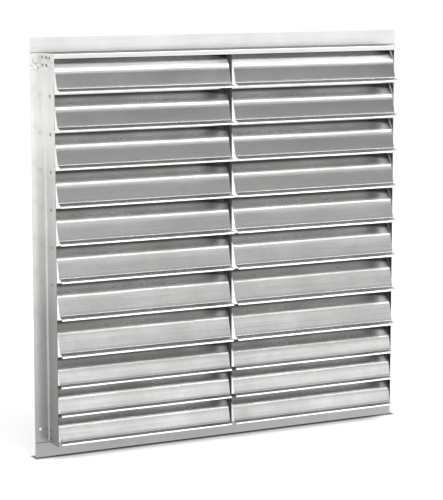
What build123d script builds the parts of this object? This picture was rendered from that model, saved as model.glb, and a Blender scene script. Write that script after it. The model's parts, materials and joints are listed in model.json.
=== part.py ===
"""Two-panel gravity exhaust shutter: folded sheet frame, hinged blades, pivot rods and tie bars.

Millimetres. X runs to the right seen from the front, Y runs into the wall, Z is up.
The origin is the centre of the mounting hole pattern, on the wall plane y = 0.
"""

import os
from math import acos, atan2, cos, hypot, radians, sin

from build123d import *

# Frame
overall_width = 990.6
overall_height = 990.6
flange_width = 34.9
box_depth = 57.0
sill_depth = 28.0
frame_sheet = 1.6
frame_bend = 2.4
header_lip = 12.0
mullion_width = 8.0
mullion_front = 52.5
mullion_back = 5.0
corner_tab_height = 36.0
corner_tab_depth = 18.0
corner_tab_back = 5.0

# Mounting holes in the stile flanges
mount_hole_radius = 3.25
mount_hole_edge = 13.0
mount_hole_end = 68.0

# Blade rows, counted from the top
wide_count = 8
narrow_count = 3
narrow_pitch = 68.0
pivot_forward = 33.0
pivot_drop = 11.0
sill_gap = 4.5
blade_end_gap = 2.3

# Blade section, forward of the pivot and below it
blade_sheet = 0.8
ridge_forward = 22.0
ridge_drop = 27.0
ridge_radius = 34.0
wide_bend_forward = 34.0
wide_bend_rise = 9.0
wide_bend_radius = 14.0
wide_lip_forward = 50.0
wide_lip_lap = 9.0
narrow_bend_forward = 29.0
narrow_bend_rise = 7.5
narrow_bend_radius = 12.0
narrow_lip_forward = 40.0
narrow_lip_drop = 65.5
lip_fold = 7.0

# Pivot rods and their bushes
rod_radius = 3.0
rod_proud = 0.8
rod_fit = 0.02
bush_wall = 1.8
bush_collar = 1.2
bush_clearance = 0.05
bush_fit = 0.02

# Tie bars behind the blades, with one lug on each blade
lug_radius = 20.0
lug_angle = 20.0
lug_sheet = 2.0
lug_eye_radius = 4.2
lug_fit = 0.02
bar_width = 8.0
bar_thickness = 3.0
bar_end = 4.6
bar_side_gap = 0.4
pin_radius = 2.0
pin_proud = 0.8
pin_fit = 0.02
pin_clearance = 0.12

# Corner rivets
rivet_radius = 2.0
rivet_head_radius = 3.6
rivet_head_height = 1.2
rivet_tail = 0.8
rivet_first = 11.0
rivet_spacing = 18.0
rivet_fit = 0.02

# Values worked out from the sizes above
box_width = overall_width - 2 * flange_width
box_height = overall_height - 2 * flange_width
inner_half = box_width / 2 - frame_sheet
hem_bore = rod_radius + rod_fit
hem_radius = hem_bore + blade_sheet
bush_bore = rod_radius + bush_clearance
bush_radius = bush_bore + bush_wall
bush_hole_radius = bush_radius + bush_fit
first_pivot_z = box_height / 2 - pivot_drop
last_pivot_z = -box_height / 2 + sill_gap + narrow_lip_drop
first_narrow_z = last_pivot_z + (narrow_count - 1) * narrow_pitch
wide_pitch = (first_pivot_z - first_narrow_z) / wide_count
blade_count = wide_count + narrow_count
pivot_heights = [first_pivot_z - row * wide_pitch for row in range(wide_count)]
pivot_heights += [first_narrow_z - row * narrow_pitch for row in range(narrow_count)]
panel_width = inner_half - mullion_width / 2
panel_centre = mullion_width / 2 + panel_width / 2
blade_length = panel_width - 2 * blade_end_gap
rod_length = panel_width + 2 * (frame_sheet + rod_proud)
lug_forward = -lug_radius * cos(radians(lug_angle))
lug_rise = -lug_radius * sin(radians(lug_angle))
bar_side = lug_sheet / 2 + bar_side_gap
mount_x = overall_width / 2 - mount_hole_edge
mount_z = overall_height / 2 - mount_hole_end
rivet_forward = corner_tab_back + corner_tab_depth / 2
rivet_heights = [box_height / 2 - rivet_first, box_height / 2 - rivet_first - rivet_spacing]

os.makedirs("parts", exist_ok=True)


def side_plane(x, forward=0.0, z=0.0):
    """Section plane at x: its own x runs forward from the wall, its y runs up, extrusion runs to -X."""
    return Plane(origin=(x, -forward, z), x_dir=(0, -1, 0), z_dir=(-1, 0, 0))


def finish(shape, name):
    """Label a finished piece and write it."""
    shape.label = name
    export_step(shape, f"parts/{name}.step")


def make_rail(name, side, depth, lip):
    """Top (side 1) or bottom (side -1) rail: full-width flange, web, optional front lip and end tabs."""
    edge = side * box_height / 2
    inner_edge = edge - side * frame_sheet
    fold = [(0, side * overall_height / 2), (0, inner_edge)]
    if lip:
        fold += [(depth - frame_sheet, inner_edge), (depth - frame_sheet, edge - side * lip)]
    else:
        fold += [(depth, inner_edge)]
    corner_width = overall_width / 2 - inner_half
    with BuildPart() as rail:
        with BuildSketch(side_plane(inner_half)):
            with BuildLine():
                FilletPolyline(*fold, radius=frame_bend)
                offset(amount=frame_sheet, side=Side.LEFT if side > 0 else Side.RIGHT)
            make_face()
        extrude(amount=2 * inner_half)
        with BuildSketch(Plane.XZ):
            with Locations((inner_half + corner_width / 2, edge + side * flange_width / 2)):
                Rectangle(corner_width, flange_width)
        extrude(amount=frame_sheet)
        with BuildSketch(side_plane(inner_half)):
            with Locations((rivet_forward, edge - side * corner_tab_height / 2)):
                Rectangle(corner_tab_depth, corner_tab_height)
            with Locations(*[(rivet_forward, side * height) for height in rivet_heights]):
                Circle(rivet_radius + rivet_fit, mode=Mode.SUBTRACT)
        extrude(amount=frame_sheet)
        mirror(about=Plane.YZ)
    finish(rail.part, name)


def make_stile(name, side):
    """Left (side -1) or right (side 1) stile: flange, box wall, mounting, bush and rivet holes."""
    with BuildPart() as stile:
        with BuildSketch(Plane.XY.offset(-box_height / 2)):
            with BuildLine():
                fold = [(side * overall_width / 2, 0), (side * inner_half, 0), (side * inner_half, -box_depth)]
                FilletPolyline(*fold, radius=frame_bend)
                offset(amount=frame_sheet, side=Side.RIGHT if side < 0 else Side.LEFT)
            make_face()
        extrude(amount=box_height)
        with BuildSketch(Plane.XZ.offset(-frame_sheet)):
            with Locations((side * mount_x, mount_z), (side * mount_x, -mount_z)):
                Circle(mount_hole_radius)
        extrude(amount=3 * frame_sheet, mode=Mode.SUBTRACT)
        with BuildSketch(side_plane(side * inner_half)):
            with Locations(*[(pivot_forward, height) for height in pivot_heights]):
                Circle(bush_hole_radius)
            with Locations(*[(rivet_forward, sign * height) for height in rivet_heights for sign in (-1, 1)]):
                Circle(rivet_radius + rivet_fit)
        extrude(amount=2 * frame_sheet, both=True, mode=Mode.SUBTRACT)
    finish(stile.part, name)


def make_mullion():
    """Centre channel, closed at the front and open to the wall; the rods turn in holes in its walls."""
    half = mullion_width / 2
    clear_height = box_height - 2 * frame_sheet
    with BuildPart() as mullion:
        with BuildSketch(Plane.XY.offset(-clear_height / 2)):
            with BuildLine():
                left_wall = [(-half, -mullion_back), (-half, -mullion_front)]
                right_wall = [(half, -mullion_front), (half, -mullion_back)]
                FilletPolyline(*left_wall, *right_wall, radius=frame_bend)
                offset(amount=frame_sheet, side=Side.LEFT)
            make_face()
        extrude(amount=clear_height)
        with BuildSketch(Plane.YZ):
            with Locations(*[(-pivot_forward, height) for height in pivot_heights]):
                Circle(bush_bore)
        extrude(amount=mullion_width, both=True, mode=Mode.SUBTRACT)
    finish(mullion.part, "mullion")


def blade_outline(row):
    """Front line of the blade sheet from the hem down to the lip, as corner points and bend radii."""
    if row < wide_count:
        lip = (wide_lip_forward, wide_lip_lap - wide_pitch)
        bend = (wide_bend_forward, lip[1] + wide_bend_rise)
        radii = [ridge_radius, wide_bend_radius]
    else:
        lip = (narrow_lip_forward, -narrow_lip_drop)
        bend = (narrow_bend_forward, lip[1] + narrow_bend_rise)
        radii = [ridge_radius, narrow_bend_radius]
    ridge_angle = atan2(-ridge_drop, ridge_forward)
    tangent_angle = ridge_angle + acos(hem_radius / hypot(ridge_forward, ridge_drop))
    hem_top = (hem_radius * cos(tangent_angle), hem_radius * sin(tangent_angle))
    return [hem_top, (ridge_forward, -ridge_drop), bend, lip], radii


def folded_edge(bend, lip):
    """Corners of the lip's doubled edge: the sheet folded back flat under itself."""
    run = Vector(lip[0] - bend[0], lip[1] - bend[1]).normalized()
    inward = Vector(run.Y, -run.X)
    tip = Vector(*lip)
    near, far = inward * blade_sheet / 2, inward * 2 * blade_sheet
    return [tip + near, tip + far, tip + far - run * lip_fold, tip + near - run * lip_fold]


def make_blade(name, side, row):
    """One blade: rolled hem on the rod, ridge, leaning face and folded lip, with its tie lug behind the hem."""
    points, radii = blade_outline(row)
    height = pivot_heights[row]
    centre = side * panel_centre
    with BuildPart() as blade:
        with BuildSketch(side_plane(centre + blade_length / 2, pivot_forward, height)):
            with BuildLine():
                FilletPolyline(*points, radius=radii)
                offset(amount=blade_sheet, side=Side.RIGHT)
            make_face()
            Circle(hem_radius)
            with BuildLine():
                Polyline(*folded_edge(points[-2], points[-1]), close=True)
            make_face()
            Circle(hem_bore, mode=Mode.SUBTRACT)
        extrude(amount=blade_length)
    with BuildPart() as lug:
        with BuildSketch(side_plane(centre + lug_sheet / 2, pivot_forward, height)):
            Circle(hem_radius)
            with Locations((lug_forward, lug_rise)):
                Circle(lug_eye_radius)
            make_hull()
            Circle(hem_radius + lug_fit, mode=Mode.SUBTRACT)
            with Locations((lug_forward, lug_rise)):
                Circle(pin_radius + pin_clearance, mode=Mode.SUBTRACT)
        extrude(amount=lug_sheet)
    finish(Compound(blade.solids() + lug.solids()), name)


def make_rod(name, side, row):
    """Pivot rod of one blade, from its stile bush into the mullion wall."""
    with BuildPart() as rod:
        with BuildSketch(side_plane(side * panel_centre + rod_length / 2, pivot_forward, pivot_heights[row])):
            Circle(rod_radius)
        extrude(amount=rod_length)
    finish(rod.part, name)


def make_tie_bar(name, side):
    """Flat bar that joins the lugs of one panel, with a hole for each tie pin."""
    start = side * panel_centre + bar_side + bar_thickness
    bar_top = first_pivot_z + lug_rise + bar_end
    bar_bottom = last_pivot_z + lug_rise - bar_end
    with BuildPart() as bar:
        with BuildSketch(side_plane(start, pivot_forward + lug_forward)):
            with Locations((0, (bar_top + bar_bottom) / 2)):
                RectangleRounded(bar_width, bar_top - bar_bottom, bar_width / 3)
            with Locations(*[(0, height + lug_rise) for height in pivot_heights]):
                Circle(pin_radius + pin_fit, mode=Mode.SUBTRACT)
        extrude(amount=bar_thickness)
    finish(bar.part, name)


def make_tie_pins(name, side):
    """Pins of one panel, held in the tie bar and turning in the lugs."""
    start = side * panel_centre + bar_side + bar_thickness + pin_proud
    length = bar_thickness + bar_side_gap + lug_sheet + 2 * pin_proud
    with BuildPart() as pins:
        with BuildSketch(side_plane(start, pivot_forward + lug_forward)):
            with Locations(*[(0, height + lug_rise) for height in pivot_heights]):
                Circle(pin_radius)
        extrude(amount=length)
    finish(pins.part, name)


def make_bushes():
    """Bearing bushes in the stile walls, one at the outer end of each rod."""
    with BuildPart() as bushes:
        with BuildSketch(side_plane(box_width / 2, pivot_forward)):
            with Locations(*[(0, height) for height in pivot_heights]):
                Circle(bush_radius)
                Circle(bush_bore, mode=Mode.SUBTRACT)
        extrude(amount=frame_sheet + bush_collar)
        mirror(about=Plane.YZ)
    finish(bushes.part, "pivot_bushes")


def make_rivets():
    """Corner rivets through the stile walls and the rail tabs, heads outside."""
    wall = box_width / 2
    grip = 2 * frame_sheet
    with BuildPart() as rivets:
        places = [(rivet_forward, sign * height) for height in rivet_heights for sign in (-1, 1)]
        with BuildSketch(side_plane(wall + rivet_head_height)):
            with Locations(*places):
                Circle(rivet_head_radius)
        extrude(amount=rivet_head_height)
        with BuildSketch(side_plane(wall)):
            with Locations(*places):
                Circle(rivet_radius)
        extrude(amount=grip + rivet_tail)
        mirror(about=Plane.YZ)
    finish(rivets.part, "corner_rivets")


make_rail("top_rail", 1, box_depth, header_lip)
make_rail("bottom_rail", -1, sill_depth, None)
make_stile("left_stile", -1)
make_stile("right_stile", 1)
make_mullion()
make_bushes()
make_rivets()
for panel, panel_side in (("left", -1), ("right", 1)):
    make_tie_bar(f"tie_bar_{panel}", panel_side)
    make_tie_pins(f"tie_pins_{panel}", panel_side)
    for blade_row in range(blade_count):
        make_blade(f"blade_{panel}_{blade_row + 1:02d}", panel_side, blade_row)
        make_rod(f"rod_{panel}_{blade_row + 1:02d}", panel_side, blade_row)
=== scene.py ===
"""Looks of a two-panel gravity exhaust shutter: rolled aluminium blades in a folded aluminium wall frame.

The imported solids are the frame. Frame members, rods, tie bars, pins, bushes and rivets keep their solids
and get a finish here. Each blade is redrawn as a smooth sheet surface that stands for its solid.
Sizes of sections and finishes are in millimetres, and are turned to metres where a mesh or node is written.
"""

import json
import logging
import math
from dataclasses import dataclass, field
from enum import Enum

import bmesh
import bpy
import numpy as np
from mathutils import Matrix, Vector


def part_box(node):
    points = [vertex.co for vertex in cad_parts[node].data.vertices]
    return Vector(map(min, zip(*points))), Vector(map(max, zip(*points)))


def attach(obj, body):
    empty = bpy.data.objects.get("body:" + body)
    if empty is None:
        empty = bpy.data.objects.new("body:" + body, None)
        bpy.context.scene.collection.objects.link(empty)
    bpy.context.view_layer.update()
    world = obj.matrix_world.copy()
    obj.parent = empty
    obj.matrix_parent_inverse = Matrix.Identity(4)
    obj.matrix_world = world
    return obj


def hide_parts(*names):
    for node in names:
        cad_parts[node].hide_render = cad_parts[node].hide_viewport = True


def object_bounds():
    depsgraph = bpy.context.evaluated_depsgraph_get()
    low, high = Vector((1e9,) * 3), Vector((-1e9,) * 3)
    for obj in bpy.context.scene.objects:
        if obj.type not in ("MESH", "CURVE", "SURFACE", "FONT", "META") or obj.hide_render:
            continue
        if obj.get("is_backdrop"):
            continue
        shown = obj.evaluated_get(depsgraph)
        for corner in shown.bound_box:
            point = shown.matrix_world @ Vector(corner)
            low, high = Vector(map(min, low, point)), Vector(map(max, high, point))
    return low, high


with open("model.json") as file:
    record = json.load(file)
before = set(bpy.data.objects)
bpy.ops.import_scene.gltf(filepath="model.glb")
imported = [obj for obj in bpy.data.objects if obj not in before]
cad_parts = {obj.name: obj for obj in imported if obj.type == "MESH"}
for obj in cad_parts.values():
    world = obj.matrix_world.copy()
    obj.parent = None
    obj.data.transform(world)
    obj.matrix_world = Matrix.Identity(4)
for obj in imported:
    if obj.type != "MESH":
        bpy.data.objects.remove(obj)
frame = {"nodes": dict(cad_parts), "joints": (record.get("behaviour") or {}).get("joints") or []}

LOG = logging.getLogger("shutter")
MM = 0.001
TINY = 1e-6
# Attribute of painted shade on the blades: roofs, hem corners, creases and lips.
PAINTED_SHADE = "painted_shade"
WEAR = "edge_wear"
WHITE = (1.0, 1.0, 1.0, 1.0)

Socket = bpy.types.NodeSocket
Tree = bpy.types.NodeTree


class Grain(Enum):
    """Direction of the rolling marks on a sheet, as the axis that they run along."""

    ALONG_X = 0
    ALONG_Z = 2


class Panel(Enum):
    """The two banks of blades, with the side of the mullion that each is on."""

    LEFT = "left"
    RIGHT = "right"


def linear(hex_colour: str) -> tuple[float, float, float, float]:
    """Turn an sRGB hex colour to linear RGBA.

    Args:
        hex_colour: Six hex digits, with or without a leading hash.

    Returns:
        Linear red, green and blue with an alpha of one.
    """
    digits = hex_colour.lstrip("#")
    srgb = [int(digits[i : i + 2], 16) / 255 for i in (0, 2, 4)]
    rgb = [c / 12.92 if c <= 0.04045 else ((c + 0.055) / 1.055) ** 2.4 for c in srgb]
    return (rgb[0], rgb[1], rgb[2], 1.0)


def add_node(tree: Tree, kind: str, settings: dict | None = None, **links: object) -> bpy.types.Node:
    """Add one shader node with its settings and inputs.

    Args:
        tree: Node tree that gets the node.
        kind: Blender's type name of the node.
        settings: Attributes of the node, such as an operation.
        links: Inputs by name with underscores for spaces, or i0, i1 for a place; a socket is linked and a
            value is set.

    Returns:
        The new node.
    """
    node = tree.nodes.new(kind)
    for name, value in (settings or {}).items():
        setattr(node, name, value)
    for name, value in links.items():
        by_place = name[0] == "i" and name[1:].isdigit()
        socket = node.inputs[int(name[1:]) if by_place else name.replace("_", " ")]
        if isinstance(value, Socket):
            tree.links.new(value, socket)
        else:
            socket.default_value = value
    return node


def maths(tree: Tree, operation: str, *values: Socket | float, clamp: bool = False) -> Socket:
    """Work out a number from sockets or numbers.

    Args:
        tree: Node tree that gets the node.
        operation: Blender's name of the operation.
        values: Inputs in order.
        clamp: Keep the result between none and one.

    Returns:
        Socket with the result.
    """
    links = {f"i{place}": value for place, value in enumerate(values)}
    return add_node(tree, "ShaderNodeMath", {"operation": operation, "use_clamp": clamp}, **links).outputs[0]


def ramp(tree: Tree, value: Socket, start: float, end: float, low: float = 0.0, high: float = 1.0) -> Socket:
    """Turn a value to a share that is low up to the start, high from the end and even between them.

    Args:
        tree: Node tree that gets the node.
        value: Socket with the value.
        start: Value at which the share is low.
        end: Value at which the share is high; it may be the smaller of the two.
        low: Share at the start.
        high: Share at the end.

    Returns:
        Socket with the share.
    """
    return add_node(tree, "ShaderNodeMapRange", {"clamp": True}, Value=value, From_Min=start, From_Max=end,
                    To_Min=low, To_Max=high).outputs["Result"]


def noise(tree: Tree, place: Socket, size_mm: float, detail: float, roughness: float = 0.5) -> Socket:
    """Noise with blots of a size.

    Args:
        tree: Node tree that gets the node.
        place: Coordinates in metres.
        size_mm: Size of the largest blots.
        detail: Number of finer layers.
        roughness: Strength of each finer layer against the one before.

    Returns:
        Socket with a share from none to one.
    """
    return add_node(tree, "ShaderNodeTexNoise", Vector=place, Scale=1.0 / (size_mm * MM), Detail=detail,
                    Roughness=roughness).outputs["Fac"]


def blend(tree: Tree, share: Socket, first: Socket | str, second: str) -> Socket:
    """Mix two colours.

    Args:
        tree: Node tree that gets the node.
        share: Share of the second colour.
        first: First colour, as a socket or in hex.
        second: Second colour in hex.

    Returns:
        Socket with the mixed colour.
    """
    start = linear(first) if isinstance(first, str) else first
    return add_node(tree, "ShaderNodeMix", {"data_type": "RGBA"}, i0=share, i6=start,
                    i7=linear(second)).outputs[2]


def new_material(name: str) -> tuple[bpy.types.Material, Tree]:
    """Make an empty node material and return it with its tree."""
    material = bpy.data.materials.new(name)
    material.use_nodes = True
    material.node_tree.nodes.clear()
    return material, material.node_tree


def object_place(tree: Tree) -> Socket:
    """Object coordinates, in metres."""
    return add_node(tree, "ShaderNodeTexCoord").outputs["Object"]


def axes_of(tree: Tree, place: Socket) -> bpy.types.NodeOutputs:
    """Coordinates as their X, Y and Z."""
    return add_node(tree, "ShaderNodeSeparateXYZ", Vector=place).outputs


@dataclass(frozen=True)
class StilePaintedShade:
    """Painted shade on a stile, in millimetres.

    It grows from the flange's edge to the box and downwards, and leaves the bend between them unshaded. The
    inner side of the box wall carries painted shade over its whole height.
    """

    share: float = 0.45
    unshaded_edge: float = 490.0
    box_edge: float = 467.0
    unshaded_above: float = 300.0
    full_below: float = -200.0
    bend_end: float = -4.0
    wall_start: float = -8.0
    flange_from: float = 464.0
    flange_share: float = 0.45
    inside_to: float = 459.6
    inside_share: float = 0.55

    def build(self, tree: Tree, place: Socket, other: Socket) -> Socket:
        """Add this painted shade to what else there is.

        Args:
            tree: Node tree of the material.
            place: Object coordinates.
            other: Share of the other painted shade and scuff.

        Returns:
            Socket with a share from none to one.
        """
        axes = axes_of(tree, place)
        side = maths(tree, "ABSOLUTE", axes["X"])
        across = ramp(tree, side, self.unshaded_edge * MM, self.box_edge * MM)
        down = ramp(tree, axes["Z"], self.unshaded_above * MM, self.full_below * MM)
        wall = ramp(tree, axes["Y"], self.bend_end * MM, self.wall_start * MM)
        on_flange = maths(tree, "GREATER_THAN", side, self.flange_from * MM)
        flange = maths(tree, "MULTIPLY", on_flange, self.flange_share)
        off_bend = maths(tree, "MAXIMUM", wall, flange)
        grown = maths(tree, "MULTIPLY", maths(tree, "MULTIPLY", across, down), off_bend)
        # Painted shade towards the box corner and the bottom, and on the box's inner wall.
        shaded_stile = maths(tree, "MULTIPLY_ADD", grown, self.share, other, clamp=True)
        inside = maths(tree, "LESS_THAN", side, self.inside_to * MM)
        return maths(tree, "MULTIPLY_ADD", inside, self.inside_share, shaded_stile, clamp=True)


@dataclass(frozen=True)
class SheetFinish:
    """Bare rolled aluminium sheet: bright grey metal with faint rolling streaks, dull clouds and buckles."""

    name: str
    light: str
    dark: str
    smooth: float
    dull: float
    grain: Grain
    streak_mm: float = 5.0
    streak_length: float = 40.0
    streak_detail: float = 4.0
    streak_weight: float = 0.35
    cloud_mm: float = 120.0
    cloud_detail: float = 5.0
    cloud_weight: float = 0.65
    mark_layers: float = 0.6
    mark_range: tuple[float, float] = (0.3, 0.7)
    buckle_mm: float = 170.0
    buckle_height_mm: float = 0.35
    buckle_strength: float = 0.6
    scratch_height_mm: float = 0.05
    scratch_strength: float = 0.25
    # Colour of the painted shade and of the scuff, strength of the blades' painted shade, and how much both
    # dull the sheet.
    darkening: str = "#4A4A48"
    painted_shade_strength: float = 0.0
    darkening_dull: float = 0.25
    worn: float = 0.0
    # Painted shade along the seam where box and flange meet, at this height above and below the middle.
    seam_at_mm: float = 460.4
    seam_half_mm: float = 0.9
    seam_painted_shade: float = 0.0
    scuff_at_mm: tuple[float, float, float] = (-482.0, 0.0, 434.0)
    scuff_mm: float = 22.0
    scuff_core_mm: float = 6.6
    scuff_share: float = 0.0
    speck_mm: float = 1000.0 / 220.0
    speck_detail: float = 3.0
    speck_range: tuple[float, float] = (0.48, 0.62)
    # Painted shade of the stile's box corner, lower part and inner wall.
    stile: StilePaintedShade | None = None

    def build(self) -> bpy.types.Material:
        """Make the material.

        Streaks are noise stretched along the rolling direction. The true marks are under a millimetre apart,
        and they are drawn about 5 mm wide so that they show. Clouds of handling haze change colour and
        roughness. Painted shade and the scuff darken and dull the sheet, and rubbed edges are duller.

        Returns:
            The finished material.
        """
        material, tree = new_material(self.name)
        place = object_place(tree)
        stretch = [1.0, 1.0, 1.0]
        stretch[self.grain.value] = 1.0 / self.streak_length
        along = add_node(tree, "ShaderNodeMapping", Vector=place, Scale=stretch).outputs["Vector"]
        streak = noise(tree, along, self.streak_mm, self.streak_detail, self.mark_layers)
        cloud = noise(tree, place, self.cloud_mm, self.cloud_detail, self.mark_layers)
        haze = maths(tree, "MULTIPLY", cloud, self.cloud_weight)
        marks = maths(tree, "MULTIPLY_ADD", streak, self.streak_weight, haze)
        colour = blend(tree, ramp(tree, marks, *self.mark_range), self.dark, self.light)
        rough = ramp(tree, marks, *self.mark_range, low=self.dull, high=self.smooth)
        buckle = noise(tree, place, self.buckle_mm, 0.0)
        wave = add_node(tree, "ShaderNodeBump", Height=buckle, Strength=self.buckle_strength,
                        Distance=self.buckle_height_mm * MM).outputs["Normal"]
        scratched = add_node(tree, "ShaderNodeBump", Height=streak, Strength=self.scratch_strength,
                             Distance=self.scratch_height_mm * MM, Normal=wave).outputs["Normal"]
        shade_and_scuff = self.shade_and_scuff(tree, place)
        wear = add_node(tree, "ShaderNodeAttribute", {"attribute_name": WEAR}).outputs["Fac"]
        rubbed = maths(tree, "MULTIPLY_ADD", wear, self.worn, rough)
        # Painted shade and the scuff darken the colour and dull the sheet.
        matt = maths(tree, "MULTIPLY_ADD", shade_and_scuff, self.darkening_dull, rubbed)
        shader = add_node(tree, "ShaderNodeBsdfPrincipled", Base_Color=blend(tree, shade_and_scuff, colour, self.darkening),
                          Metallic=1.0, Roughness=matt, Normal=scratched)
        add_node(tree, "ShaderNodeOutputMaterial", Surface=shader.outputs[0])
        return material

    def shade_and_scuff(self, tree: Tree, place: Socket) -> Socket:
        """Share of painted shade and scuff: painted shade on the blades, along the box-to-flange seams and on
        the stile, and one scuffed spot.

        Args:
            tree: Node tree of the material.
            place: Object coordinates.

        Returns:
            Socket with a share from none to one.
        """
        # Painted shade on the blades, from their attribute.
        darkening = add_node(tree, "ShaderNodeAttribute", {"attribute_name": PAINTED_SHADE}).outputs["Fac"]
        painted_shade_amount = maths(tree, "MULTIPLY", darkening, self.painted_shade_strength)
        # Painted shade along the seam where box and flange meet.
        level = maths(tree, "ABSOLUTE", axes_of(tree, place)["Z"])
        seam_shade = maths(tree, "COMPARE", level, self.seam_at_mm * MM, self.seam_half_mm * MM)
        painted_shade_so_far = maths(tree, "MULTIPLY_ADD", seam_shade, self.seam_painted_shade, painted_shade_amount)
        centre = [c * MM for c in self.scuff_at_mm]
        away = add_node(tree, "ShaderNodeVectorMath", {"operation": "DISTANCE"}, i0=place, i1=centre)
        near = ramp(tree, away.outputs["Value"], self.scuff_mm * MM, self.scuff_core_mm * MM)
        speck = noise(tree, place, self.speck_mm, self.speck_detail)
        rubs = ramp(tree, speck, *self.speck_range, high=self.scuff_share)
        spot = maths(tree, "MULTIPLY_ADD", near, rubs, painted_shade_so_far, clamp=True)
        return self.stile.build(tree, place, spot) if self.stile else spot


@dataclass(frozen=True)
class SmallPartFinish:
    """Zinc-plated steel, nylon or a drawn rivet: one colour with a fine mottle in colour and roughness."""

    name: str
    light: str
    dark: str
    roughness: float
    metallic: float
    mottle_mm: float = 4.0
    mottle_detail: float = 4.0
    roughness_spread: float = 0.08

    def build(self) -> bpy.types.Material:
        """Make the material from mottle noise and return it."""
        material, tree = new_material(self.name)
        mottle = noise(tree, object_place(tree), self.mottle_mm, self.mottle_detail)
        rough = ramp(tree, mottle, 0.0, 1.0, self.roughness - self.roughness_spread,
                     self.roughness + self.roughness_spread)
        shader = add_node(tree, "ShaderNodeBsdfPrincipled", Metallic=self.metallic, Roughness=rough,
                          Base_Color=blend(tree, mottle, self.dark, self.light))
        add_node(tree, "ShaderNodeOutputMaterial", Surface=shader.outputs[0])
        return material


# The blades carry painted shade from their attribute, and duller rubbed edges.
BLADE_SHEET = SheetFinish("rolled_aluminium_blade", "#E3E3E2", "#BFBFBD", 0.17, 0.25, Grain.ALONG_X,
                          buckle_height_mm=2.5, painted_shade_strength=0.27, worn=0.12)
# The rails carry painted shade along the seam where box and flange meet.
RAIL_SHEET = SheetFinish("rolled_aluminium_rail", "#F4F4F3", "#E2E2E0", 0.26, 0.4, Grain.ALONG_X,
                         seam_painted_shade=0.8)
# The stiles carry painted shade along the seam, towards the box corner and the bottom and on the inner wall,
# and a scuffed spot.
STILE_SHEET = SheetFinish("rolled_aluminium_stile", "#F8F8F7", "#E8E8E6", 0.18, 0.3, Grain.ALONG_Z,
                          seam_painted_shade=0.6, scuff_share=0.5, stile=StilePaintedShade())
# The mullion's dark colour is painted shade of the gap between the panels; its dullness is its own.
MULLION_SHEET = SheetFinish("dull_mullion_painted_shade", "#5E5E5C", "#484846", 0.5, 0.62, Grain.ALONG_Z)
BAR_SHEET = SheetFinish("rolled_aluminium_bar", "#E3E3E2", "#BFBFBD", 0.26, 0.4, Grain.ALONG_Z)
ROD_STEEL = SmallPartFinish("zinc_plated_steel", "#A9ABAE", "#8D8F92", 0.38, 1.0)
BUSH_NYLON = SmallPartFinish("moulded_nylon", "#D9D6CC", "#C9C5B8", 0.5, 0.0, 2.0)
RIVET_METAL = SmallPartFinish("drawn_aluminium_rivet", "#B4B4B3", "#8E8E8C", 0.36, 1.0, 1.5)


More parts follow.
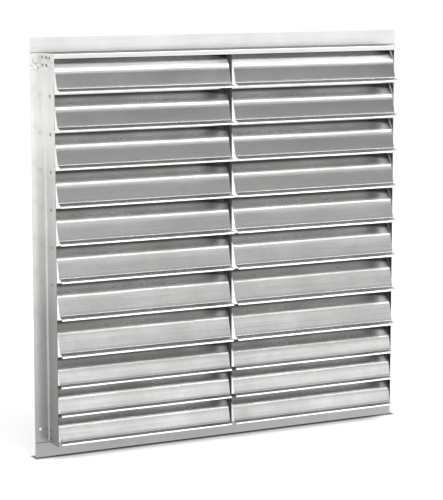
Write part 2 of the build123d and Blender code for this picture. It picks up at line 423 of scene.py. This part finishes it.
@dataclass
class BladeSection:
    """Section of one blade, in millimetres forward of the pivot and above it.

    Painted shade thicknesses are for points down the front: the first three from the hem, the start of the
    ridge, the foot of the face and the crease above the lip. A further share gives the lip's part of the
    crease's painted shade.
    """

    lip: tuple[float, float]
    bend: tuple[float, float]
    bend_radius: float = 3.5
    ridge: tuple[float, float] = (22.0, -27.0)
    ridge_radius: float = 34.0
    sheet: float = 0.8
    hem_radius: float = 3.82
    fold: float = 4.0
    fold_clear: float = 4.8
    lip_run: float = 5.0
    lip_tilt_deg: float = 32.0
    lip_radius: float = 5.0
    # Thicknesses of painted shade down the front: hem corner, ridge, foot of the face, crease and lip.
    hem_painted_shade: tuple[float, float, float] = (3.7, 3.1, 1.4)
    ridge_painted_shade: float = 0.9
    foot_painted_shade: float = 0.3
    crease_painted_shade: float = 1.0
    lip_painted_shade: float = 0.6
    arc_steps: int = 14
    run_steps: int = 6
    hem_steps: int = 36
    fold_steps: int = 9
    wear_lead: int = 2

    def front_line(self) -> np.ndarray:
        """Work out the sheet's front line from the hem to the lip.

        It starts where the line from the ridge touches the hem circle. Each corner is an arc that touches both
        runs. The last few millimetres of the flare are turned down, as the photograph's bright lip shows.

        Returns:
            Points as rows of forward and up.
        """
        ridge = np.array(self.ridge)
        lean = math.atan2(ridge[1], ridge[0]) + math.acos(self.hem_radius / np.linalg.norm(ridge))
        start = self.hem_radius * np.array([math.cos(lean), math.sin(lean)])
        tilt = math.radians(self.lip_tilt_deg)
        down = np.array([math.sin(tilt), -math.cos(tilt)])
        tip = np.array(self.lip) - down * self.sheet
        corners = [start, ridge, np.array(self.bend), tip - down * self.lip_run, tip]
        rows = [start[None]]
        for k, radius in ((1, self.ridge_radius), (2, self.bend_radius), (3, self.lip_radius)):
            arc = self.corner_arc(corners[k - 1], corners[k], corners[k + 1], radius)
            if k < 3:
                rows.append(self.straight(rows[-1][-1], arc[0])[:-1])
            rows.append(arc)
        rows.append(self.straight(rows[-1][-1], tip))
        return np.vstack(rows)

    def corner_arc(self, before: np.ndarray, corner: np.ndarray, after: np.ndarray,
                   radius: float) -> np.ndarray:
        """Arc of a radius that touches the runs into and out of a corner, as rows of points."""
        to_before = (before - corner) / np.linalg.norm(before - corner)
        to_after = (after - corner) / np.linalg.norm(after - corner)
        half = math.acos(float(to_before @ to_after)) / 2
        bisector = (to_before + to_after) / np.linalg.norm(to_before + to_after)
        centre = corner + bisector * radius / math.sin(half)
        touch = corner + to_before * radius / math.tan(half) - centre
        turn = np.sign(touch[0] * bisector[1] - touch[1] * bisector[0]) * -(math.pi - 2 * half)
        angles = math.atan2(touch[1], touch[0]) + np.linspace(0, 1, self.arc_steps) * turn
        return centre + radius * np.stack([np.cos(angles), np.sin(angles)], axis=1)

    def straight(self, start: np.ndarray, end: np.ndarray) -> np.ndarray:
        """Points along a straight run, without its start."""
        share = np.linspace(0, 1, self.run_steps + 1)[1:, None]
        return start + (end - start) * share

    def darkening(self, count: int, roof_share: np.ndarray) -> np.ndarray:
        """Thickness of painted shade round the outline.

        It is thick in the corner at the hem, even on the roof, gone early on the ridge, faint towards the foot
        of the face and thick again in the crease above the lip.

        Args:
            count: Points of the outline.
            roof_share: Thickness of the roof's painted shade at each station along the blade.

        Returns:
            One row of thicknesses for each station.
        """
        run, arc = self.run_steps - 1, self.arc_steps
        roof = np.concatenate([self.hem_painted_shade, np.ones(1 + run - len(self.hem_painted_shade))])
        ridge = np.pad(np.linspace(self.ridge_painted_shade, 0, arc // 4), (0, arc - arc // 4))
        face = np.linspace(0, self.foot_painted_shade, run)
        crease = np.full(arc, self.crease_painted_shade)
        lip = np.linspace(self.lip_painted_shade * self.crease_painted_shade, 0, arc // 2)
        upper = np.outer(roof_share, np.concatenate([roof, ridge]))
        lower = np.concatenate([face, crease, lip])
        lower = np.pad(lower, (0, count - upper.shape[1] - len(lower)))
        return np.hstack([upper, np.tile(lower, (len(roof_share), 1))])

    def wear(self, count: int) -> np.ndarray:
        """Share of rubbing round the outline: full on the ridge and on the turned-down lip, none elsewhere.

        Args:
            count: Points of the outline.

        Returns:
            One share for each point.
        """
        share = np.zeros(count)
        ridge_start = self.run_steps
        share[ridge_start : ridge_start + self.arc_steps] = 1.0
        lip_start = 1 + 2 * (self.run_steps - 1) + 3 * self.arc_steps
        share[lip_start - self.wear_lead : lip_start + self.run_steps] = 1.0
        return share

    def outline(self) -> np.ndarray:
        """Work out the closed outline of the sheet: front line, rounded fold, back line and rolled hem.

        Returns:
            Points in order round the section, as rows of forward and up.
        """
        front = self.front_line()
        run = np.gradient(front, axis=0)
        run /= np.linalg.norm(run, axis=1)[:, None]
        inward = np.stack([run[:, 1], -run[:, 0]], axis=1)
        back = (front + inward * self.sheet)[::-1]
        tip, tip_run, tip_in = front[-1], run[-1], inward[-1] * self.sheet
        turn = np.linspace(0, math.pi, self.fold_steps)[1:-1, None]
        fold_round = tip + tip_in + np.sin(turn) * tip_run * self.sheet - np.cos(turn) * tip_in
        fold_end = tip - self.fold * tip_run
        under = [tip + 2 * tip_in, fold_end + 2 * tip_in, fold_end + tip_in]
        back_rows = back[np.linalg.norm(back - tip, axis=1) > self.fold_clear][:-1]
        touch = math.atan2(front[0][1], front[0][0])
        begin = touch - math.acos((self.hem_radius - self.sheet) / self.hem_radius)
        angles = np.linspace(begin, touch - 2 * math.pi, self.hem_steps)[:-1]
        hem = self.hem_radius * np.stack([np.cos(angles), np.sin(angles)], axis=1)
        return np.vstack([front, fold_round, under, back_rows, hem])


WIDE_BLADE = BladeSection(lip=(50.0, -78.975), bend=(34.0, -69.975))
NARROW_BLADE = BladeSection(lip=(40.0, -65.5), bend=(29.0, -58.0), lip_run=4.2, crease_painted_shade=2.0)


@dataclass
class TieLug:
    """Flat lug behind the hem that carries the tie pin, in millimetres."""

    reach: float = 20.0
    drop_deg: float = 20.0
    eye_radius: float = 4.2
    hole_radius: float = 2.12
    sheet: float = 2.0
    steps: int = 48

    def build(self, centre_x: float) -> tuple[np.ndarray, np.ndarray]:
        """Make the lug as a ring of four corners carried round the pin hole.

        The outer edge is round behind the hole. Ahead of it, two straight flanks run to the pivot.

        Args:
            centre_x: Middle of the lug along X, in millimetres.

        Returns:
            Vertices in millimetres as X, forward and up, and quads.
        """
        drop = math.radians(self.drop_deg)
        to_hem = np.array([math.cos(drop), math.sin(drop)])
        eye = -self.reach * to_hem
        angles = np.linspace(0, 2 * math.pi, self.steps, endpoint=False)
        ray = np.stack([np.cos(angles), np.sin(angles)], axis=1)
        along = ray @ to_hem
        across = ray @ np.array([-to_hem[1], to_hem[0]])
        flank = self.eye_radius / np.maximum(np.abs(across), TINY)
        end = self.reach / np.maximum(along, TINY)
        radius = np.where(along > 0, np.minimum(flank, end), self.eye_radius)
        outer = eye + ray * radius[:, None]
        inner = eye + ray * self.hole_radius
        half = self.sheet / 2
        rings = [(inner, -half), (outer, -half), (outer, half), (inner, half)]
        parts = [np.column_stack([np.full(self.steps, centre_x + dx), ring]) for ring, dx in rings]
        return np.vstack(parts), grid_quads(len(rings), self.steps, wrap_rows=True)


def grid_quads(rows: int, columns: int, wrap_rows: bool) -> np.ndarray:
    """Number the quads of a grid of points stored row by row, with the last column joined to the first.

    Args:
        rows: Points down the grid.
        columns: Points across the grid.
        wrap_rows: Join the last row to the first.

    Returns:
        Quads as rows of four point numbers.
    """
    row = np.arange(rows if wrap_rows else rows - 1).repeat(columns)
    column = np.tile(np.arange(columns), len(row) // columns)
    below, beside = (row + 1) % rows, (column + 1) % columns
    corners = [(row, column), (row, beside), (below, beside), (below, column)]
    return np.stack([r * columns + c for r, c in corners], axis=1)


def new_piece(name: str, verts: np.ndarray, faces: list[tuple[int, ...]],
              sharp_deg: float = 32.0) -> bpy.types.Object:
    """Write a mesh piece in metres and link it to the scene.

    Args:
        name: Name of the piece.
        verts: Vertices in millimetres as X, forward and up from the wall.
        faces: Faces as tuples of vertex numbers.
        sharp_deg: Edges that turn by more than this are shaded sharp.

    Returns:
        The new object, at the origin.
    """
    placed = np.column_stack([verts[:, 0], -verts[:, 1], verts[:, 2]]) * MM
    mesh = bpy.data.meshes.new(name)
    mesh.from_pydata(placed.tolist(), [], faces)
    work = bmesh.new()
    work.from_mesh(mesh)
    bmesh.ops.recalc_face_normals(work, faces=work.faces)
    work.to_mesh(mesh)
    work.free()
    mesh.shade_smooth()
    mesh.set_sharp_from_angle(angle=math.radians(sharp_deg))
    piece = bpy.data.objects.new(name, mesh)
    bpy.context.scene.collection.objects.link(piece)
    return piece


@dataclass
class BladeBank:
    """One bank of linked blades, drawn as sheet surfaces from the pivots that the frame gives.

    The waviness of a blade is a sum of sines, each with a size and a count of waves along the blade. It is full
    from hang_mm below the pivot. Painted shade is thicker at each blade's right end, where the photograph is
    dark.
    """

    panel: Panel
    material: bpy.types.Material
    rows: int = 11
    wide_rows: int = 8
    stations: int = 61
    wave_sizes_mm: tuple[float, ...] = (0.27, 0.135, 0.0675)
    wave_counts: tuple[float, ...] = (0.8, 1.9, 4.3)
    hang_mm: float = 40.0
    # Painted shade: thicker towards each blade's right end, and lighter on the top blade's roof.
    end_painted_shade: float = 2.0
    end_painted_shade_mm: float = 36.0
    top_roof_share: float = 0.8
    lug: TieLug = field(default_factory=TieLug)
    seed: int = 36

    def buckle(self, x: np.ndarray, rng: np.random.Generator) -> np.ndarray:
        """Gentle lengthwise waviness of a thin blade, all of it backwards, in millimetres.

        Args:
            x: Stations along the blade.
            rng: Source of the waves' phases.

        Returns:
            One distance forward for each station, none or less.
        """
        share = (x - x.min()) / (x.max() - x.min())
        phases = rng.uniform(0, 2 * math.pi, len(self.wave_sizes_mm))
        waves = [size * np.sin(2 * math.pi * count * share + phase)
                 for size, count, phase in zip(self.wave_sizes_mm, self.wave_counts, phases)]
        wave = np.sum(waves, axis=0)
        return wave - wave.max()

    def sheet_mesh(self, outline: np.ndarray, x: np.ndarray,
                   wave: np.ndarray) -> tuple[np.ndarray, list[tuple[int, ...]]]:
        """Carry the section's outline along the blade and close both ends.

        Args:
            outline: Points round the section, from the pivot.
            x: Stations along the blade.
            wave: Distance forward at each station.

        Returns:
            Vertices in millimetres as X, forward and up from the pivot, and faces.
        """
        count = len(outline)
        hang = np.clip(-outline[:, 1] / self.hang_mm, 0, 1) ** 2
        forward = outline[:, 0] + np.outer(wave, hang)
        up = np.broadcast_to(outline[:, 1], forward.shape)
        along = np.broadcast_to(x[:, None], forward.shape)
        faces = [tuple(q) for q in grid_quads(self.stations, count, wrap_rows=False).tolist()]
        last = (self.stations - 1) * count
        faces += [tuple(range(count)), tuple(range(last, last + count))]
        return np.stack([along, forward, up], axis=2).reshape(-1, 3), faces

    def build(self) -> None:
        """Make each blade of the bank, let it stand for its solid and ride on its body."""
        rng = np.random.default_rng(self.seed if self.panel is Panel.LEFT else self.seed + 1)
        pivots = {j["child"]: j["pos_m"] for j in frame["joints"]}
        for row in range(self.rows):
            tag = f"{self.panel.value}_{row + 1:02d}"
            node = f"blade_{tag}"
            low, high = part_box(node)
            pivot = pivots[f"louver_{tag}"]
            section = WIDE_BLADE if row < self.wide_rows else NARROW_BLADE
            outline = section.outline()
            x = np.linspace(low.x, high.x, self.stations) / MM
            verts, faces = self.sheet_mesh(outline, x, self.buckle(x, rng))
            lug_verts, lug_quads = self.lug.build((low.x + high.x) / 2 / MM)
            faces += [tuple(q) for q in (lug_quads + len(verts)).tolist()]
            placed = np.vstack([verts, lug_verts]) + np.array([0, -pivot[1], pivot[2]]) / MM
            piece = new_piece(f"sheet_{node}", placed, faces)
            # Painted shade of the roof, thicker towards the blade's right end.
            painted_shade_amount = 1 + self.end_painted_shade * np.exp(-(((x.max() - x) / self.end_painted_shade_mm) ** 2))
            darkening = section.darkening(len(outline), painted_shade_amount * (1.0 if row else self.top_roof_share)).ravel()
            wear = np.tile(section.wear(len(outline)), self.stations)
            for name, share in ((PAINTED_SHADE, darkening), (WEAR, wear)):
                attribute = piece.data.attributes.new(name, "FLOAT", "POINT")
                attribute.data.foreach_set("value", np.pad(share, (0, len(lug_verts))))
            piece.data.materials.append(self.material)
            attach(piece, f"louver_{tag}")
            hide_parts(node)
            LOG.info("%s: %d points", piece.name, len(piece.data.vertices))


@dataclass
class WallFrame:
    """Fixed frame and small parts, which keep their solids and get their finish here."""

    rails: bpy.types.Material
    stiles: bpy.types.Material
    mullion: bpy.types.Material
    bars: bpy.types.Material
    steel: bpy.types.Material
    nylon: bpy.types.Material
    rivet: bpy.types.Material

    def finish_of(self, node: str) -> bpy.types.Material:
        """Material of a node, by what the piece is."""
        if node.startswith(("rod_", "tie_pins")):
            return self.steel
        if node.startswith("tie_bar"):
            return self.bars
        special = {"pivot_bushes": self.nylon, "corner_rivets": self.rivet, "mullion": self.mullion,
                   "top_rail": self.rails, "bottom_rail": self.rails}
        return special.get(node, self.stiles)

    def dress(self) -> None:
        """Give every kept solid its material."""
        for name, node in frame["nodes"].items():
            if name.startswith("blade_"):
                continue
            node.data.materials.clear()
            node.data.materials.append(self.finish_of(name))
            LOG.info("%s: %s", name, node.data.materials[0].name)


@dataclass
class Studio:
    """Pale floor, soft light, reflected cards and the camera at the photograph's angle.

    Lengths are in metres. A pair of lengths is where a change starts and where it is complete.
    """

    camera_place: tuple[float, float, float] = (-2.21, -4.223, 0.686)
    yaw_deg: float = -27.65
    pitch_deg: float = 8.57
    lens_mm: float = 141.6
    sensor_mm: float = 36.0
    view_end: float = 60.0
    floor_size: float = 16.0
    floor_hex: str = "#F4F4F3"
    floor_lift: float = 0.36
    # Painted contact shadow on the floor at the flange's foot.
    painted_shadow_hex: str = "#6A6A68"
    painted_shadow_ahead: tuple[float, float] = (0.010, 0.026)
    painted_shadow_beside: tuple[float, float] = (0.497, 0.505)
    # Reflections of the floor are greyer near the object, as painted shade.
    mirror_centre: tuple[float, float] = (-0.3, 0.6)
    mirror_fade: tuple[float, float] = (0.6, 5.0)
    mirror_levels: tuple[float, float] = (0.46, 1.1)
    card_distance: float = 4.6
    card_width: float = 11.0
    card_height: float = 4.4
    card_fade: tuple[float, float] = (1.3, 3.2)
    card_bright: float = 1.15
    card_dark: float = 0.1
    ceiling_height: float = 5.0
    ceiling_front: float = -3.0
    ceiling_back: float = -0.5
    sky_fill: float = 0.75
    softbox_place: tuple[float, float, float] = (2.1, -4.05, 4.45)
    softbox_size: tuple[float, float] = (9.0, 2.4)
    softbox_watts: float = 250.0

    def build(self, floor_z: float) -> None:
        """Make the floor, world, lights, cards and camera.

        Args:
            floor_z: Height of the floor, at the lowest point of the object.
        """
        self.floor(floor_z)
        self.world()
        self.card(floor_z)
        self.ceiling()
        self.softbox()
        self.camera()

    def sheet(self, name: str, corners: list[tuple[float, float, float]]) -> bpy.types.Object:
        """A flat stage sheet from its corners in order."""
        mesh = bpy.data.meshes.new(name)
        mesh.from_pydata(corners, [], [tuple(range(len(corners)))])
        sheet = bpy.data.objects.new(name, mesh)
        bpy.context.scene.collection.objects.link(sheet)
        sheet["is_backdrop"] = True
        return sheet

    def reflected_only(self, sheet: bpy.types.Object) -> None:
        """Let a stage sheet show in reflections and nowhere else."""
        sheet.visible_camera = False
        sheet.visible_diffuse = False
        sheet.visible_shadow = False

    def floor(self, z: float) -> None:
        """White floor that keeps the object's soft shadow and has a painted contact shadow under the flange.

        What the camera sees of it is lifted to paper white. In reflections it glows, greyer near the object as
        painted shade.

        Args:
            z: Height of the floor.
        """
        half = self.floor_size / 2
        floor = self.sheet("floor", [(-half, -half, z), (half, -half, z), (half, half, z), (-half, half, z)])
        material, tree = new_material("white_paper_floor")
        path = add_node(tree, "ShaderNodeLightPath").outputs
        place = object_place(tree)
        axes = axes_of(tree, place)
        # Painted contact shadow: a dark strip at the flange's foot, where the lift to white is also taken away.
        ahead = ramp(tree, maths(tree, "ABSOLUTE", axes["Y"]), *self.painted_shadow_ahead)
        beside = ramp(tree, maths(tree, "ABSOLUTE", axes["X"]), *self.painted_shadow_beside)
        clear = maths(tree, "MAXIMUM", ahead, beside)
        lift = maths(tree, "MULTIPLY", path["Is Camera Ray"], maths(tree, "MULTIPLY", clear, self.floor_lift))
        colour = blend(tree, clear, self.painted_shadow_hex, self.floor_hex)
        diffuse = add_node(tree, "ShaderNodeBsdfDiffuse", Color=colour)
        paper = add_node(tree, "ShaderNodeEmission", Color=WHITE, Strength=lift)
        seen = add_node(tree, "ShaderNodeAddShader", i0=diffuse.outputs[0], i1=paper.outputs[0])
        # Painted shade in reflections: the floor glows dimmer near the object.
        centre = (*self.mirror_centre, z)
        away = add_node(tree, "ShaderNodeVectorMath", {"operation": "DISTANCE"}, i0=place, i1=centre)
        grade = ramp(tree, away.outputs["Value"], *self.mirror_fade, *self.mirror_levels)
        mirrored = add_node(tree, "ShaderNodeEmission", Color=WHITE, Strength=grade)
        both = add_node(tree, "ShaderNodeMixShader", i0=path["Is Glossy Ray"], i1=seen.outputs[0],
                        i2=mirrored.outputs[0])
        add_node(tree, "ShaderNodeOutputMaterial", Surface=both.outputs[0])
        floor.data.materials.append(material)

    def world(self) -> None:
        """White surround for what is seen or mirrored, and a softer even fill for the rest."""
        world = bpy.data.worlds.new("white_surround")
        bpy.context.scene.world = world
        world.use_nodes = True
        tree = world.node_tree
        tree.nodes.clear()
        path = add_node(tree, "ShaderNodeLightPath").outputs
        seen = maths(tree, "MAXIMUM", path["Is Camera Ray"], path["Is Glossy Ray"])
        clear = maths(tree, "MAXIMUM", seen, path["Is Transmission Ray"])
        level = ramp(tree, clear, 0.0, 1.0, low=self.sky_fill)
        back = add_node(tree, "ShaderNodeBackground", Color=WHITE, Strength=level)
        add_node(tree, "ShaderNodeOutputWorld", Surface=back.outputs[0])

    def card(self, floor_z: float) -> None:
        """Grey card in front, seen only in reflections: white at the floor and dark towards its top.

        Args:
            floor_z: Height of the floor.
        """
        half, y, top = self.card_width / 2, -self.card_distance, floor_z + self.card_height
        corners = [(-half, y, floor_z), (half, y, floor_z), (half, y, top), (-half, y, top)]
        card = self.sheet("grey_card", corners)
        self.reflected_only(card)
        material, tree = new_material("graded_grey_card")
        height = axes_of(tree, object_place(tree))["Z"]
        start, end = (floor_z + step for step in self.card_fade)
        grade = add_node(tree, "ShaderNodeMapRange", {"interpolation_type": "SMOOTHSTEP"}, Value=height,
                         From_Min=start, From_Max=end, To_Min=self.card_bright, To_Max=self.card_dark)
        glow = add_node(tree, "ShaderNodeEmission", Color=WHITE, Strength=grade.outputs["Result"])
        add_node(tree, "ShaderNodeOutputMaterial", Surface=glow.outputs[0])
        card.data.materials.append(material)

    def ceiling(self) -> None:
        """Dark ceiling over the object, seen only in reflections, so that the blade roofs stay grey."""
        half, z, front, back = self.card_width / 2, self.ceiling_height, self.ceiling_front, self.ceiling_back
        corners = [(-half, front, z), (half, front, z), (half, back, z), (-half, back, z)]
        ceiling = self.sheet("dark_ceiling", corners)
        self.reflected_only(ceiling)
        material, tree = new_material("dark_ceiling")
        glow = add_node(tree, "ShaderNodeEmission", Color=WHITE, Strength=self.card_dark)
        add_node(tree, "ShaderNodeOutputMaterial", Surface=glow.outputs[0])
        ceiling.data.materials.append(material)

    def softbox(self) -> None:
        """Large soft lamp above and in front of the object, turned to the origin."""
        lamp = bpy.data.lights.new("overhead_softbox", "AREA")
        lamp.shape = "RECTANGLE"
        lamp.size, lamp.size_y = self.softbox_size
        lamp.energy = self.softbox_watts
        rig = bpy.data.objects.new("overhead_softbox", lamp)
        rig.location = self.softbox_place
        rig.rotation_euler = (-rig.location).to_track_quat("-Z", "Y").to_euler()
        bpy.context.scene.collection.objects.link(rig)

    def camera(self) -> None:
        """Camera at the photograph's place, with no shift and no depth of field."""
        data = bpy.data.cameras.new("camera")
        data.lens = self.lens_mm
        data.sensor_width = self.sensor_mm
        data.clip_end = self.view_end
        camera = bpy.data.objects.new("camera", data)
        yaw, pitch = math.radians(self.yaw_deg), math.radians(self.pitch_deg)
        level = math.cos(pitch)
        back = Vector((math.sin(yaw) * level, -math.cos(yaw) * level, math.sin(pitch)))
        camera.location = self.camera_place
        camera.rotation_euler = (-back).to_track_quat("-Z", "Y").to_euler()
        bpy.context.scene.collection.objects.link(camera)
        bpy.context.scene.camera = camera


def main() -> None:
    """Build and dress every piece, then the studio on a floor at the lowest point of the object."""
    logging.basicConfig(level=logging.INFO, format="%(message)s")
    bpy.context.scene.view_settings.view_transform = "Standard"
    cad_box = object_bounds()
    blade_sheet = BLADE_SHEET.build()
    for panel in Panel:
        BladeBank(panel, blade_sheet).build()
    WallFrame(
        rails=RAIL_SHEET.build(),
        stiles=STILE_SHEET.build(),
        mullion=MULLION_SHEET.build(),
        bars=BAR_SHEET.build(),
        steel=ROD_STEEL.build(),
        nylon=BUSH_NYLON.build(),
        rivet=RIVET_METAL.build(),
    ).dress()
    Studio().build(cad_box[0].z)


if __name__ == "__main__":
    main()
